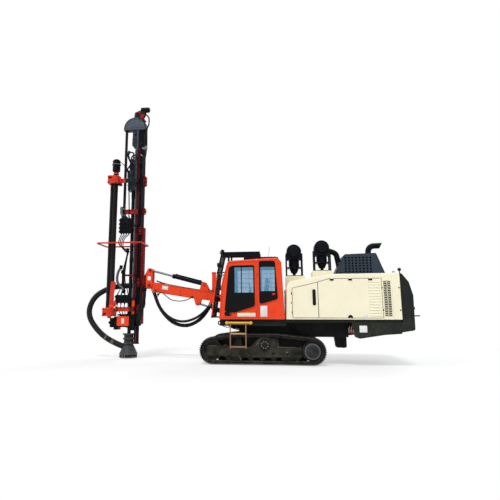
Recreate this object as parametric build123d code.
from build123d import *
import os
from math import atan2, cos, hypot, pi, radians, sin, tan

# Down-the-hole drilling rig on crawler tracks. Millimetres, +Z up, ground at Z = 0.
# The machine faces -X, its left side (the cab side) is -Y.

# Fits between pieces
RUN_GAP = 0.3
SLIDE_GAP = 5.0
PANEL_GAP = 5.0
LUG_GAP = 8.0

# Undercarriage
OVERALL_WIDTH = 2500.0
TRACK_LENGTH = 3480.0
TRACK_MID_X = 730.0
SHOE_WIDTH = 400.0
SHOE_COUNT = 44
GROUSERS = 3
GROUSER_HEIGHT = 24.0
GROUSER_SHARE = 0.36
SHOE_THICKNESS = 22.0
CHAIN_DEPTH = 62.0
CHAIN_WIDTH = 190.0
WHEEL_RADIUS = 266.0
WHEEL_WIDTH = 90.0
RIM_DEPTH = 45.0
CARRIER_RISE = 104.0
CARRIER_SPAN = 1030.0
CARRIER_OFFSET = -125.0
ROLLER_RADIUS = 78.0
ROLLER_WIDTH = 170.0
ROLLER_COUNT = 7
CARRIER_RADIUS = 62.0
ARC_STEPS = 14
SIDE_FRAME_Z = (190.0, 475.0)
HUB_OFFSET = 80.0
HUB_Z = 540.0
HUB_RADIUS = 150.0
HUB_DISC_RADIUS = 232.0
HUB_PLATE = 34.0
AXLE_RADIUS = 105.0
YOKE_PLATE = 20.0
POST_PLATE = 10.0

# Main frame
DECK_FRONT_X = -430.0
DECK_TOP_Z = 1230.0
DECK_THICKNESS = 80.0
CAB_SILL_DEPTH = 180.0
BODY_WIDTH = 2400.0
BELLY_X = (60.0, 3140.0)
BELLY_BOTTOM_Z = 735.0
BELLY_HALF_WIDTH = 640.0
BELLY_PLATE = 30.0
FRAME_BEAM_Y = (380.0, 520.0)
TOW_X = (2850.0, 3150.0)
TOW_BOTTOM_Z = 410.0
TOW_HALF_WIDTH = 130.0
TOW_WALL = 60.0
TOW_BORE_RADIUS = 32.0
TIE_Y = 760.0
TIE_THICKNESS = 40.0
TIE_BORE_RADIUS = 30.0
TANK_X = (560.0, 1340.0)
TANK_WIDTH = 640.0
TANK_HEIGHT = 700.0
TANK_CORNER = 60.0

# Cab
CAB_OVERHANG = 50.0
CAB_INNER_Y = -150.0
CAB_WALL = 50.0
CAB_FRONT_X = -450.0
CAB_REAR_X = 1380.0
CAB_EDGE_RADIUS = 34.0
DOOR_REAR_X = 615.0
DOOR_TOP_Z = 2800.0
DOOR_SILL_Z = 1280.0
GLASS_THICKNESS = 8.0
KNUCKLE_RADIUS = 9.0
HINGE_LEAF = 8.0
GUARD_TUBE = 40.0
GUARD_BARS = 9
LAMP_RADIUS = 62.0

# Hood and tail
HOOD_FRONT_X = 1410.0
HOOD_REAR_X = 4470.0
HOOD_TOP_Z = 2480.0
HOOD_WALL = 40.0
HOOD_EDGE = 36.0
DOOR1_X = (1600.0, 2300.0)
DOOR2_REAR_X = 3990.0
HOOD_DOOR_SILL_Z = 1270.0
HATCH_HEAD_Z = 2340.0
GRILLE_X = (4040.0, 4220.0)
GRILLE_Z = (1310.0, 2270.0)
GRILLE_ROWS = 14
GRILLE_COLUMNS = 4
LOUVRE_X = (3640.0, 3940.0)
LOUVRE_Z = (1340.0, 2250.0)
LOUVRE_ROWS = 13
TAIL_REAR_X = 4790.0
TAIL_WALL = 40.0
HANDLE_REACH = 120.0
FILTER_Y = -500.0
FILTER_RADIUS = 200.0
FILTER_LENGTH = 440.0
CANISTER_RADIUS = 125.0
POST_SIZE = 40.0
EXHAUST_X = 3925.0
EXHAUST_RADIUS = 85.0
EXHAUST_WALL = 6.0
EXHAUST_TOP_Z = 3390.0
STACK_GUARD_Y = (-820.0, -120.0)
STACK_GUARD_PLATE = 20.0

# Boom, all in one vertical plane, with its pins as (X, Z)
BOOM_Y = 200.0
SWING_X = 0.0
FOOT = (-160.0, 1750.0)
LIFT_BASE = (-160.0, 1360.0)
LIFT_EYE = (-1300.0, 1700.0)
TILT_BASE = (-1100.0, 2300.0)
TILT_EYE = (-2840.0, 2760.0)
HEAD_PIN = (-2860.0, 2290.0)
BOOM_HALF = 100.0
NECK_HALF = 80.0
LUG_PLATE = 30.0
EYE_HALF = 60.0
PIN_RADIUS = 34.0
SWING_PIN_RADIUS = 45.0
HEAD_PIN_RADIUS = 42.0
LIFT_BARREL_RADIUS = 62.0
LIFT_BARREL_LENGTH = 720.0
LIFT_ROD_RADIUS = 32.0
TILT_BARREL_RADIUS = 65.0
TILT_BARREL_LENGTH = 1060.0
TILT_ROD_RADIUS = 35.0
GLAND_LENGTH = 60.0
GLAND_RISE = 8.0
POST_X = -790.0

# Mast
PIPE_X = -3530.0
PIPE_RADIUS = 57.0
BEAM_X = (-3410.0, -3210.0)
BEAM_HALF = 140.0
BEAM_Z = (1000.0, 7560.0)
BEAM_WALL = 16.0
BEAM_RAIL = (35.0, 30.0)
FLANGE_THICKNESS = 22.0
FLANGE_LIP = 40.0
SWIVEL_Z = 2370.0
SWIVEL_RADIUS = 150.0
SWIVEL_SHAFT_RADIUS = 80.0
HEAD_FACE_X = -3060.0
HEAD_FACE_PLATE = 31.0
CRADLE_Z = (1400.0, 4170.0)
CRADLE_FOOT_Z = 1060.0
GUIDE_HEIGHT = 260.0
GUIDE_WALL = 25.0
CARRIAGE_Z = (5420.0, 6820.0)
CARRIAGE_PLATE = 35.0
CARRIAGE_CHEEK = 20.0
SHEAVE_X = -3520.0
SHEAVE_RADIUS = 372.0
SHEAVE_BAND = 80.0
MAGAZINE_X = -4095.0
MAGAZINE_Y = -100.0
MAGAZINE_RADIUS = 195.0
MAGAZINE_PIPES = 4
MAGAZINE_PIPE_RADIUS = 48.0
MAGAZINE_CIRCLE = 75.0
MAGAZINE_SHAFT = 25.0
MAGAZINE_FOOT_Z = (1300.0, 1560.0)
MAGAZINE_HEAD_Z = (5620.0, 5880.0)
HOOP_Z = 3600.0
HOOP_TUBE = 16.0
HOOP_X = (-4490.0, -3030.0)
HOOP_Y = (-420.0, 470.0)
MAST_HOSE_X = -3830.0
MAST_HOSE_RADIUS = 26.0
MAST_HOSE_PITCH = 60.0
TABLE_X = (-3860.0, -3260.0)
TABLE_Z = (960.0, 1360.0)
TABLE_HALF = 200.0
TABLE_PLATE = 40.0
TABLE_BORE = 80.0
SKIRT_Z = (125.0, 410.0)
SKIRT_RADII = (285.0, 150.0)
HOOD_TUBE_TOP_Z = 760.0
DUST_WALL = 10.0
DUST_HOSE_RADIUS = 95.0


def box(x, y, z):
    """Block between the low and high value on each axis."""
    size = (x[1] - x[0], y[1] - y[0], z[1] - z[0])
    return Pos((x[0] + x[1]) / 2, (y[0] + y[1]) / 2, (z[0] + z[1]) / 2) * Box(*size)


def rounded(corners):
    """Face of an outline given as (x, z, corner radius)."""
    face = Polygon(*[(corner[0], corner[1]) for corner in corners], align=None)
    for x, z, radius in corners:
        if radius:
            vertex = face.vertices().sort_by_distance((x, z, 0))[0]
            face = fillet(vertex, radius)
    return face


def side_face(face, y):
    """Prism of a face drawn in X and Z, from y[0] to y[1]."""
    return extrude(Plane.XZ.offset(-y[1]) * face, y[1] - y[0], dir=(0, -1, 0))


def side_plate(points, y):
    """Prism of an outline of straight edges drawn in X and Z, from y[0] to y[1]."""
    return side_face(Polygon(*points, align=None), y)


def grown(face, amount):
    """The face moved outwards all round, or inwards when the amount is negative."""
    return offset(face, amount, kind=Kind.INTERSECTION)


def rod_y(x, z, radius, y):
    """Round bar along Y."""
    return Pos(x, (y[0] + y[1]) / 2, z) * Rot(90, 0, 0) * Cylinder(radius, y[1] - y[0])


def rod_x(y, z, radius, x):
    """Round bar along X."""
    return Pos((x[0] + x[1]) / 2, y, z) * Rot(0, 90, 0) * Cylinder(radius, x[1] - x[0])


def rod_z(x, y, radius, z):
    """Round bar along Z."""
    return Pos(x, y, (z[0] + z[1]) / 2) * Cylinder(radius, z[1] - z[0])


def bar(start, end, radius):
    """Round bar between two points."""
    line = Edge.make_line(start, end)
    return extrude(Plane(origin=start, z_dir=line % 0) * Circle(radius), line.length)


def both_sides(solid):
    """A left-hand piece and its mirror image on the right."""
    return Part() + [solid, mirror(solid, Plane.XZ)]


def spaced(span, count):
    """Places of a number of things spread evenly from one end of a span to the other."""
    return [span[0] + (span[1] - span[0]) * index / (count - 1) for index in range(count)]


def wide(span, margin=1.0):
    """A span made longer at both ends, for cutting right through."""
    return (span[0] - margin, span[1] + margin)


def about(middle, half):
    """Span of a half width each side of a middle."""
    return (middle - half, middle + half)


export = {}


def keep(name, shape):
    """Collects one named piece."""
    export[name] = shape


# Track loop: outer sizes first, then the chain line that the shoes ride on.
TRACK_Y = (-OVERALL_WIDTH / 2, -OVERALL_WIDTH / 2 + SHOE_WIDTH)
TRACK_MID_Y = sum(TRACK_Y) / 2
OUTER_RADIUS = WHEEL_RADIUS + CHAIN_DEPTH + SHOE_THICKNESS + GROUSER_HEIGHT
WHEEL_Z = OUTER_RADIUS
IDLER_X = TRACK_MID_X - TRACK_LENGTH / 2 + OUTER_RADIUS
SPROCKET_X = TRACK_MID_X + TRACK_LENGTH / 2 - OUTER_RADIUS
CARRIER_MID_X = TRACK_MID_X + CARRIER_OFFSET
CARRIER_X = (CARRIER_MID_X - CARRIER_SPAN / 2, CARRIER_MID_X + CARRIER_SPAN / 2)
CARRIER_Z = WHEEL_Z + WHEEL_RADIUS + CARRIER_RISE - CARRIER_RADIUS
HUB_X = TRACK_MID_X + HUB_OFFSET
CHAIN_Y = about(TRACK_MID_Y, CHAIN_WIDTH / 2)


def loop_path(radius):
    """Lines and arcs of the track loop at one distance from the wheel centres, run clockwise from
    the idler's bottom: idler, rise, top run, fall, sprocket, ground run."""
    slope_front = atan2(CARRIER_RISE, CARRIER_X[0] - IDLER_X)
    slope_rear = atan2(CARRIER_RISE, SPROCKET_X - CARRIER_X[1])
    front_top = (IDLER_X - radius * sin(slope_front), WHEEL_Z + radius * cos(slope_front))
    rear_top = (SPROCKET_X + radius * sin(slope_rear), WHEEL_Z + radius * cos(slope_rear))
    top = WHEEL_Z + radius + CARRIER_RISE
    knee_front = (CARRIER_X[0] - radius * tan(slope_front / 2), top)
    knee_rear = (CARRIER_X[1] + radius * tan(slope_rear / 2), top)
    return [
        ("arc", IDLER_X, WHEEL_Z, radius, -pi / 2, -3 * pi / 2 + slope_front),
        ("line", front_top, knee_front),
        ("line", knee_front, knee_rear),
        ("line", knee_rear, rear_top),
        ("arc", SPROCKET_X, WHEEL_Z, radius, pi / 2 - slope_rear, -pi / 2),
        ("line", (SPROCKET_X, WHEEL_Z - radius), (IDLER_X, WHEEL_Z - radius)),
    ]


def piece_length(piece):
    """Length of one line or arc of the loop."""
    if piece[0] == "line":
        return hypot(piece[2][0] - piece[1][0], piece[2][1] - piece[1][1])
    return piece[3] * abs(piece[5] - piece[4])


def loop_point(pieces, distance, height):
    """Point at a distance along the loop, raised outwards by a height."""
    for piece in pieces:
        length = piece_length(piece)
        if distance > length and piece is not pieces[-1]:
            distance -= length
            continue
        if piece[0] == "arc":
            angle = piece[4] + distance / length * (piece[5] - piece[4])
            reach = piece[3] + height
            return (piece[1] + reach * cos(angle), piece[2] + reach * sin(angle))
        dx = (piece[2][0] - piece[1][0]) / length
        dz = (piece[2][1] - piece[1][1]) / length
        return (piece[1][0] + dx * distance - dz * height, piece[1][1] + dz * distance + dx * height)


def track_outline(radius):
    """Outer outline of the shoes, with the grousers of each."""
    pieces = loop_path(radius)
    pitch = sum(piece_length(piece) for piece in pieces) / SHOE_COUNT
    step = pitch / GROUSERS
    width = step * GROUSER_SHARE
    points = []
    for tooth in range(SHOE_COUNT * GROUSERS):
        start = tooth * step
        points.append(loop_point(pieces, start, 0))
        points.append(loop_point(pieces, start + step - width, 0))
        points.append(loop_point(pieces, start + step - width, GROUSER_HEIGHT))
        points.append(loop_point(pieces, start + step - width / 6, GROUSER_HEIGHT))
    return points


def inner_outline(radius):
    """Smooth inner outline of the chain, its arcs drawn as chords outside the wheels."""
    points = []
    for piece in loop_path(radius):
        if piece[0] == "line":
            points.append(piece[1])
            continue
        lift = radius / cos((piece[5] - piece[4]) / ARC_STEPS / 2) - radius
        for step in range(ARC_STEPS):
            points.append(loop_point([piece], piece_length(piece) * (step + 0.5) / ARC_STEPS, lift))
    return points


def make_track():
    """One crawler loop: the shoes' outline, hollow inside, with the link chain along its middle."""
    shoe_radius = WHEEL_RADIUS + CHAIN_DEPTH + SHOE_THICKNESS
    chain_radius = WHEEL_RADIUS + CHAIN_DEPTH
    shoes = side_plate(track_outline(shoe_radius), TRACK_Y)
    shoes -= side_plate(inner_outline(chain_radius), wide(TRACK_Y))
    chain = side_plate(inner_outline(chain_radius + 1), CHAIN_Y)
    chain -= side_plate(inner_outline(WHEEL_RADIUS + RUN_GAP), wide(CHAIN_Y))
    return shoes + chain


def make_wheel(x, hub_radius, hub_reach, seat_y):
    """Idler or sprocket: a rimmed disc, its hub from an outer reach to the frame's seat."""
    face = about(TRACK_MID_Y, WHEEL_WIDTH / 2)
    wheel = rod_y(x, WHEEL_Z, WHEEL_RADIUS, face)
    pocket = WHEEL_WIDTH / 4
    for low, high in ((face[0] - 1, face[0] + pocket), (face[1] - pocket, face[1] + 1)):
        wheel -= rod_y(x, WHEEL_Z, WHEEL_RADIUS - RIM_DEPTH, (low, high))
    return wheel + rod_y(x, WHEEL_Z, hub_radius, (TRACK_MID_Y - hub_reach, seat_y))


def make_rollers():
    """Track rollers on the ground run and two carrier rollers under the top run."""
    y = about(TRACK_MID_Y, ROLLER_WIDTH / 2)
    places = spaced((IDLER_X + WHEEL_RADIUS + 164, SPROCKET_X - WHEEL_RADIUS - 154), ROLLER_COUNT)
    rollers = [rod_y(x, WHEEL_Z - WHEEL_RADIUS + ROLLER_RADIUS, ROLLER_RADIUS, y) for x in places]
    return rollers + [rod_y(x, CARRIER_Z, CARRIER_RADIUS, y) for x in CARRIER_X]


# Side frame: box beam, hub casting with its round boss and lug, yoke plates and roller posts.
BEAM_Y = CHAIN_Y
beam_low, beam_high = SIDE_FRAME_Z
beam_front = IDLER_X + WHEEL_RADIUS + 30
beam_rear = SPROCKET_X - WHEEL_RADIUS - 20
side_frame = side_face(rounded([
    (beam_front, beam_low + 50, 20), (beam_front, beam_high - 30, 0), (beam_front + 190, beam_high, 60),
    (HUB_X - 400, beam_high, 80), (HUB_X - 200, HUB_Z + 150, 60), (HUB_X + 200, HUB_Z + 150, 60),
    (HUB_X + 400, beam_high, 80), (beam_rear, beam_high, 30), (beam_rear, beam_low + 20, 20),
    (beam_rear - 60, beam_low, 0), (beam_front + 60, beam_low, 0)]), BEAM_Y)
boss_y = (BEAM_Y[0] - HUB_PLATE, BEAM_Y[0])
casting = side_face(rounded([
    (HUB_X - 360, beam_low + 20, 30), (HUB_X - 240, HUB_Z - 60, 40), (HUB_X - 90, HUB_Z + 185, 60),
    (HUB_X + 90, HUB_Z + 185, 60), (HUB_X + 250, HUB_Z - 60, 40), (HUB_X + 700, HUB_Z - 170, 40),
    (HUB_X + 700, beam_low + 20, 30)]), boss_y)
casting += rod_y(HUB_X, HUB_Z, HUB_DISC_RADIUS, boss_y)
casting += side_face(rounded([
    (HUB_X + 170, HUB_Z, 0), (HUB_X + 175, HUB_Z + 185, 50), (HUB_X + 290, HUB_Z + 185, 50),
    (HUB_X + 320, HUB_Z - 80, 0)]), boss_y)
for hole_x in (HUB_X + 220, HUB_X + 610):
    casting -= rod_y(hole_x, beam_low + 110, 40, wide(boss_y))
side_frame += casting
yoke = rounded([
    (IDLER_X - 165, WHEEL_Z - 135, 60), (IDLER_X - 165, WHEEL_Z + 130, 60), (beam_front + 60, WHEEL_Z + 130, 0),
    (beam_front + 60, WHEEL_Z - 135, 0)])
for y in ((BEAM_Y[0] - YOKE_PLATE, BEAM_Y[0]), (BEAM_Y[1], BEAM_Y[1] + YOKE_PLATE)):
    side_frame += side_face(yoke, y)
front_casting = rounded([
    (beam_front - 70, beam_low + 40, 50), (beam_front - 60, beam_high + 15, 60), (beam_front + 60, beam_high + 80, 70),
    (beam_front + 180, beam_high + 5, 40), (beam_front + 560, beam_high, 40), (beam_front + 800, beam_low + 20, 30)])
side_frame += side_face(front_casting, (BEAM_Y[0] - 1.5 * YOKE_PLATE, BEAM_Y[0]))
drive_plate = rounded([
    (beam_rear - 160, beam_low + 30, 0), (beam_rear - 160, beam_high, 0), (SPROCKET_X + 60, WHEEL_Z + 170, 80),
    (SPROCKET_X + 60, WHEEL_Z - 170, 80)])
side_frame += side_face(drive_plate, (BEAM_Y[1], BEAM_Y[1] + YOKE_PLATE))
roller_y = about(TRACK_MID_Y, ROLLER_WIDTH / 2)
for x in CARRIER_X:
    post = rounded([
        (x - 190, beam_high - 20, 0), (x - 60, CARRIER_Z + 25, 30), (x + 60, CARRIER_Z + 25, 30),
        (x + 90, beam_high - 20, 0)])
    side_frame += side_face(post, (roller_y[1], roller_y[1] + POST_PLATE))
    side_frame += side_face(post, (roller_y[0] - POST_PLATE, roller_y[0]))
rollers = make_rollers()
for roller in rollers[:ROLLER_COUNT]:
    middle = roller.center()
    slot_x = about(middle.X, ROLLER_RADIUS + 6)
    side_frame -= box(slot_x, roller_y, (0, middle.Z + ROLLER_RADIUS + 6))
side_frame -= rod_y(IDLER_X, WHEEL_Z, WHEEL_RADIUS + 10, BEAM_Y)
side_frame -= rod_y(SPROCKET_X, WHEEL_Z, WHEEL_RADIUS + 10, BEAM_Y)
side_frame -= rod_y(HUB_X, HUB_Z, AXLE_RADIUS, wide(boss_y, 2 * CHAIN_WIDTH))
keep("side_frames", both_sides(side_frame))
track = make_track()
keep("track_left", track)
keep("track_right", mirror(track, Plane.XZ))
idler = make_wheel(IDLER_X, 95, CHAIN_WIDTH / 2, BEAM_Y[1])
sprocket = make_wheel(SPROCKET_X, 205, 128, BEAM_Y[1])
sprocket += rod_y(SPROCKET_X, WHEEL_Z, 120, (TRACK_MID_Y - 150, TRACK_MID_Y - 127))
keep("track_wheels", both_sides(Part() + [idler, sprocket]))
keep("rollers", both_sides(Part() + rollers))

# Axle through both side frames, with a bolted flange outside each, and the pedestal under the belly.
axle_end = boss_y[0]
axle = rod_y(HUB_X, HUB_Z, AXLE_RADIUS, (axle_end, -axle_end))
for side in (-1, 1):
    flange = sorted((side * -axle_end, side * (-axle_end + 26)))
    axle += rod_y(HUB_X, HUB_Z, HUB_RADIUS, flange)
pedestal = side_face(rounded([
    (HUB_X - 330, BELLY_BOTTOM_Z, 0), (HUB_X - 250, HUB_Z - 60, 60), (HUB_X - 120, HUB_Z - 130, 40),
    (HUB_X + 120, HUB_Z - 130, 40), (HUB_X + 250, HUB_Z - 60, 60), (HUB_X + 330, BELLY_BOTTOM_Z, 0)]),
    about(0, BELLY_HALF_WIDTH - 60))
keep("axle", axle + pedestal)

# Main frame: deck, cab sill, two long box beams, cross ribs and the belly plates.
half_body = BODY_WIDTH / 2
deck_low = DECK_TOP_Z - DECK_THICKNESS
sill_low = DECK_TOP_Z - CAB_SILL_DEPTH
frame = box((DECK_FRONT_X, HOOD_REAR_X - 20), about(0, half_body), (deck_low, DECK_TOP_Z))
frame += box((DECK_FRONT_X, HOOD_FRONT_X), (-half_body, -half_body + 60), (sill_low, deck_low))
frame += box((DECK_FRONT_X, DECK_FRONT_X + 60), about(0, half_body), (sill_low, deck_low))
for side in (-1, 1):
    beam_y = sorted((side * FRAME_BEAM_Y[0], side * FRAME_BEAM_Y[1]))
    frame += side_face(rounded([
        (DECK_FRONT_X + 40, deck_low, 0), (DECK_FRONT_X + 40, sill_low + 20, 0), (BELLY_X[0] - 120, sill_low - 90, 60),
        (HOOD_REAR_X - 90, sill_low - 90, 0), (HOOD_REAR_X - 90, deck_low, 0)]), beam_y)
    wall_y = sorted((side * BELLY_HALF_WIDTH, side * (BELLY_HALF_WIDTH - BELLY_PLATE)))
    frame += side_face(rounded([
        (BELLY_X[0], deck_low, 0), (BELLY_X[0], BELLY_BOTTOM_Z, 60), (BELLY_X[1], BELLY_BOTTOM_Z, 0),
        (BELLY_X[1], deck_low, 0)]), wall_y)
frame += box((BELLY_X[0] + 60, BELLY_X[1]), about(0, BELLY_HALF_WIDTH), (BELLY_BOTTOM_Z, BELLY_BOTTOM_Z + BELLY_PLATE))
tow_mid_x = sum(TOW_X) / 2
tow = side_face(rounded([
    (TOW_X[0] - 40, BELLY_BOTTOM_Z, 0), (TOW_X[0], TOW_BOTTOM_Z, 50), (TOW_X[1], TOW_BOTTOM_Z, 50),
    (TOW_X[1], BELLY_BOTTOM_Z, 0)]), about(0, TOW_HALF_WIDTH))
tow -= box((tow_mid_x - 10, TOW_X[1] + 1), about(0, TOW_HALF_WIDTH - 45),
           (TOW_BOTTOM_Z + TOW_WALL, BELLY_BOTTOM_Z - TOW_WALL))
tow -= rod_z(tow_mid_x + 70, 0, TOW_BORE_RADIUS, (TOW_BOTTOM_Z - 1, TOW_BOTTOM_Z + TOW_WALL + 1))
tow -= rod_z(tow_mid_x + 70, 0, TOW_BORE_RADIUS, (BELLY_BOTTOM_Z - TOW_WALL - 1, BELLY_BOTTOM_Z))
for side in (-1, 1):
    tie_y = sorted((side * TIE_Y, side * (TIE_Y + TIE_THICKNESS)))
    tie_mid = sill_low + 72
    tie = side_face(rounded([
        (DECK_FRONT_X, sill_low, 0), (DECK_FRONT_X - 110, tie_mid - 50, 45), (DECK_FRONT_X - 110, tie_mid + 50, 45),
        (DECK_FRONT_X, deck_low + 50, 0)]), tie_y)
    tie -= rod_y(DECK_FRONT_X - 55, tie_mid, TIE_BORE_RADIUS, wide(tie_y))
    frame += tie
keep("main_frame", frame + tow)

# Tank on the right of the deck, with two straps and a filler neck.
tank_y = (half_body - 20 - TANK_WIDTH, half_body - 20)
tank_z = (DECK_TOP_Z, DECK_TOP_Z + TANK_HEIGHT)
tank = box(TANK_X, tank_y, tank_z)
tank = fillet(tank.edges().filter_by(Axis.X).group_by(Axis.Z)[-1], TANK_CORNER)
strap = box((0, 50), wide(tank_y, 6), (tank_z[0], tank_z[1] + 6))
strap = fillet(strap.edges().filter_by(Axis.X).group_by(Axis.Z)[-1], TANK_CORNER)
for x in (TANK_X[0] + 130, TANK_X[1] - 180):
    tank += Pos(x, 0, 0) * strap
tank += rod_z(TANK_X[1] - 90, tank_y[0] + 160, 60, (tank_z[1] - 1, tank_z[1] + 70))
keep("deck_tank", tank)

# Cab: a hollow shell of one outline, with its door and windows cut through the walls.
CAB_Y = (-half_body - CAB_OVERHANG, CAB_INNER_Y)
CAB_SIDE = rounded([
    (CAB_FRONT_X, DECK_TOP_Z, 0), (CAB_FRONT_X + 70, 2220, 400), (CAB_FRONT_X + 250, 2870, 90), (640, 2920, 0),
    (CAB_REAR_X - 160, 2940, 90), (CAB_REAR_X - 60, 2810, 90), (CAB_REAR_X, DECK_TOP_Z, 0)])
DOOR_SIDE = rounded([
    (CAB_FRONT_X + 52, DOOR_SILL_Z, 20), (CAB_FRONT_X + 118, 2220, 300), (CAB_FRONT_X + 278, DOOR_TOP_Z, 70),
    (DOOR_REAR_X, DOOR_TOP_Z, 20), (DOOR_REAR_X, DOOR_SILL_Z, 20)])
DOOR_WINDOW = rounded([
    (CAB_FRONT_X + 285, 2680, 60), (CAB_FRONT_X + 380, 2730, 60), (DOOR_REAR_X - 55, 2740, 60),
    (DOOR_REAR_X - 55, 1600, 80), (CAB_FRONT_X + 430, 1410, 120), (CAB_FRONT_X + 160, 1460, 60)])
QUARTER_WINDOW = rounded([
    (DOOR_REAR_X + 75, 2850, 50), (CAB_REAR_X - 240, 2850, 70), (CAB_REAR_X - 180, 1790, 70),
    (DOOR_REAR_X + 75, 1640, 60)])
left_y = (CAB_Y[0], CAB_Y[0] + CAB_WALL)
right_y = (CAB_Y[1] - CAB_WALL, CAB_Y[1])
inner_y = (left_y[1], right_y[0])
cab_body = side_face(CAB_SIDE, CAB_Y)
cab_room = side_face(grown(CAB_SIDE, -CAB_WALL), inner_y)
edges = cab_body.faces().sort_by(Axis.Y)[0].edges() + cab_body.faces().sort_by(Axis.Y)[-1].edges()
cab_body = fillet([edge for edge in edges if edge.center().Z > DECK_TOP_Z + 1], CAB_EDGE_RADIUS)
cab = cab_body - cab_room
cab -= side_face(grown(DOOR_SIDE, PANEL_GAP), wide(left_y))
cab -= side_face(QUARTER_WINDOW, wide(left_y))
cab -= side_face(DOOR_WINDOW, wide(right_y))
cab -= side_face(QUARTER_WINDOW, wide(right_y))
WINDSHIELD_Y = (CAB_Y[0] + 90, CAB_Y[1] - 90)
WINDSHIELD_Z = (1480.0, 2790.0)
REAR_WINDOW_Z = (2330.0, 2740.0)
front_cut = box((CAB_FRONT_X - 10, CAB_FRONT_X + 400), WINDSHIELD_Y, WINDSHIELD_Z)
rear_cut = box((CAB_REAR_X - 130, CAB_REAR_X + 10), WINDSHIELD_Y, REAR_WINDOW_Z)
cab -= front_cut - cab_room
cab -= rear_cut
cab += rod_z(960, sum(CAB_Y) / 2, 12, (2900, 3000))
keep("cab_shell", cab)

mid_band = side_face(grown(CAB_SIDE, (GLASS_THICKNESS - CAB_WALL) / 2), CAB_Y)
mid_band -= side_face(grown(CAB_SIDE, -(GLASS_THICKNESS + CAB_WALL) / 2), wide(CAB_Y))


def pane_y(wall_y):
    """Y range of a pane in the middle of a side wall."""
    return about(sum(wall_y) / 2, GLASS_THICKNESS / 2)


glass = [mid_band & front_cut, mid_band & rear_cut, side_face(QUARTER_WINDOW, pane_y(left_y)),
         side_face(QUARTER_WINDOW, pane_y(right_y)), side_face(DOOR_WINDOW, pane_y(right_y))]
keep("cab_glass", Part() + glass)


def upright_hinge(x, edge_x, wall_y, z):
    """Hinge of a panel in a left wall: a barrel just off the wall at x, its leaf on the panel's edge."""
    leaf_x = sorted((edge_x, edge_x + (50 if edge_x > x else -50)))
    neck_x = sorted((x, edge_x + (1 if edge_x > x else -1)))
    hinge = rod_z(x, wall_y - KNUCKLE_RADIUS - RUN_GAP, KNUCKLE_RADIUS, z)
    hinge += box(leaf_x, (wall_y - HINGE_LEAF, wall_y), z)
    return hinge + box(neck_x, (wall_y - HINGE_LEAF, wall_y - 3), z)


def level_hinge(z, edge_z, wall_y, x):
    """Hinge of a hatch in a left wall: a barrel just off the wall at z, its leaf below on the hatch."""
    hinge = rod_x(wall_y - KNUCKLE_RADIUS - RUN_GAP, z, KNUCKLE_RADIUS, x)
    hinge += box(x, (wall_y - HINGE_LEAF, wall_y), (edge_z - 50, edge_z))
    return hinge + box(x, (wall_y - HINGE_LEAF, wall_y - 3), (edge_z - 1, z))


door = side_face(DOOR_SIDE, left_y) - side_face(DOOR_WINDOW, wide(left_y))
door_hinge_x = DOOR_REAR_X + PANEL_GAP / 2
for z in ((1450, 1620), (2400, 2570)):
    door += upright_hinge(door_hinge_x, DOOR_REAR_X, left_y[0], z)
keep("cab_door", door)
keep("door_glass", side_face(DOOR_WINDOW, pane_y(left_y)))

# Operator's seat and console, standing on the cab floor.
seat_floor = DECK_TOP_Z + CAB_WALL
seat_mid_y = sum(CAB_Y) / 2
SEAT_HALF = 250.0
seat = box((430, 760), about(seat_mid_y, SEAT_HALF - 70), (seat_floor, seat_floor + 260))
seat += side_face(rounded([
    (330, seat_floor + 260, 30), (330, seat_floor + 370, 50), (745, seat_floor + 350, 40),
    (880, seat_floor + 1120, 40), (960, seat_floor + 1110, 30), (860, seat_floor + 260, 60)]),
    about(seat_mid_y, SEAT_HALF))
for side in (-1, 1):
    arm_y = sorted((seat_mid_y + side * SEAT_HALF, seat_mid_y + side * (SEAT_HALF + 70)))
    seat += box((400, 800), arm_y, (seat_floor + 480, seat_floor + 550))
    seat += box((720, 780), arm_y, (seat_floor + 300, seat_floor + 481))
keep("seat", seat)
console = side_face(rounded([
    (CAB_FRONT_X + 120, seat_floor, 0), (CAB_FRONT_X + 120, seat_floor + 500, 30),
    (CAB_FRONT_X + 200, seat_floor + 620, 30), (CAB_FRONT_X + 360, seat_floor + 560, 30),
    (CAB_FRONT_X + 360, seat_floor, 0)]), (inner_y[1] - 420, inner_y[1]))
keep("console", console)

# Guards before the windshield and over the roof, with the grab bar, work lamp and ball lamp.
GUARD_Y = (CAB_Y[0] + 30, CAB_Y[1] - 180)
GUARD_BROW = (CAB_FRONT_X + 100, 3080.0)
GUARD_KNEE = (CAB_FRONT_X - 20, 2540.0)
GUARD_FOOT = (CAB_FRONT_X - 190, 1270.0)
guard_line = [GUARD_BROW, GUARD_KNEE, GUARD_FOOT]
side_bar_y = [(GUARD_Y[0], GUARD_Y[0] + GUARD_TUBE), (GUARD_Y[1] - GUARD_TUBE, GUARD_Y[1])]


def guard_x(z):
    """Rear face of the front guard at a height."""
    upper, lower = (GUARD_BROW, GUARD_KNEE) if z > GUARD_KNEE[1] else (GUARD_KNEE, GUARD_FOOT)
    return lower[0] + (upper[0] - lower[0]) * (z - lower[1]) / (upper[1] - lower[1])


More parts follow.
